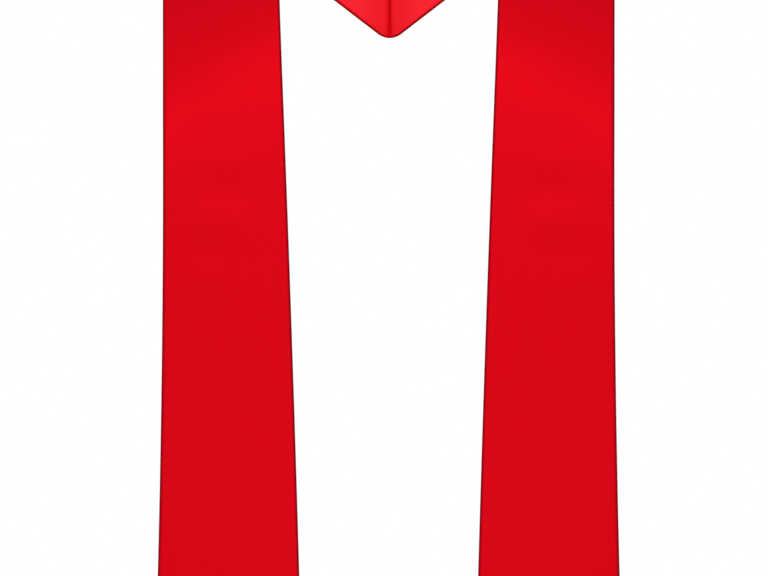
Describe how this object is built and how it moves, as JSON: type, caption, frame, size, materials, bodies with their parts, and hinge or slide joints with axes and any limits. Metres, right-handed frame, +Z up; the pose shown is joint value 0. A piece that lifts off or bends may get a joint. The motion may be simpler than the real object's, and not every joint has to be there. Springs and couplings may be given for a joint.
{
  "type": "graduation stole",
  "caption": "Long flared satin stole worn over the shoulders: two hanging bands with pointed ends, joined in a rounded V at the centre back, each a face panel over a lining panel.",
  "frame": {"origin": "middle of the neck, between the shoulders, level with the inner edges where they pass over the shoulders, which is where the neck and shoulders hold the stole up", "axes": "+Z up, along the length of the hanging bands; +Y backwards, from the bands towards the centre back seam; +X to the wearer's left"},
  "size_m": [0.4168, 0.1875, 0.7372],
  "materials": {
    "satin_face": "satin",
    "satin_lining": "satin"
  },
  "bodies": {
    "root": {"left_face_panel": "satin_face", "right_face_panel": "satin_face", "left_lining_panel": "satin_lining", "right_lining_panel": "satin_lining"}
  },
  "joints": []
}
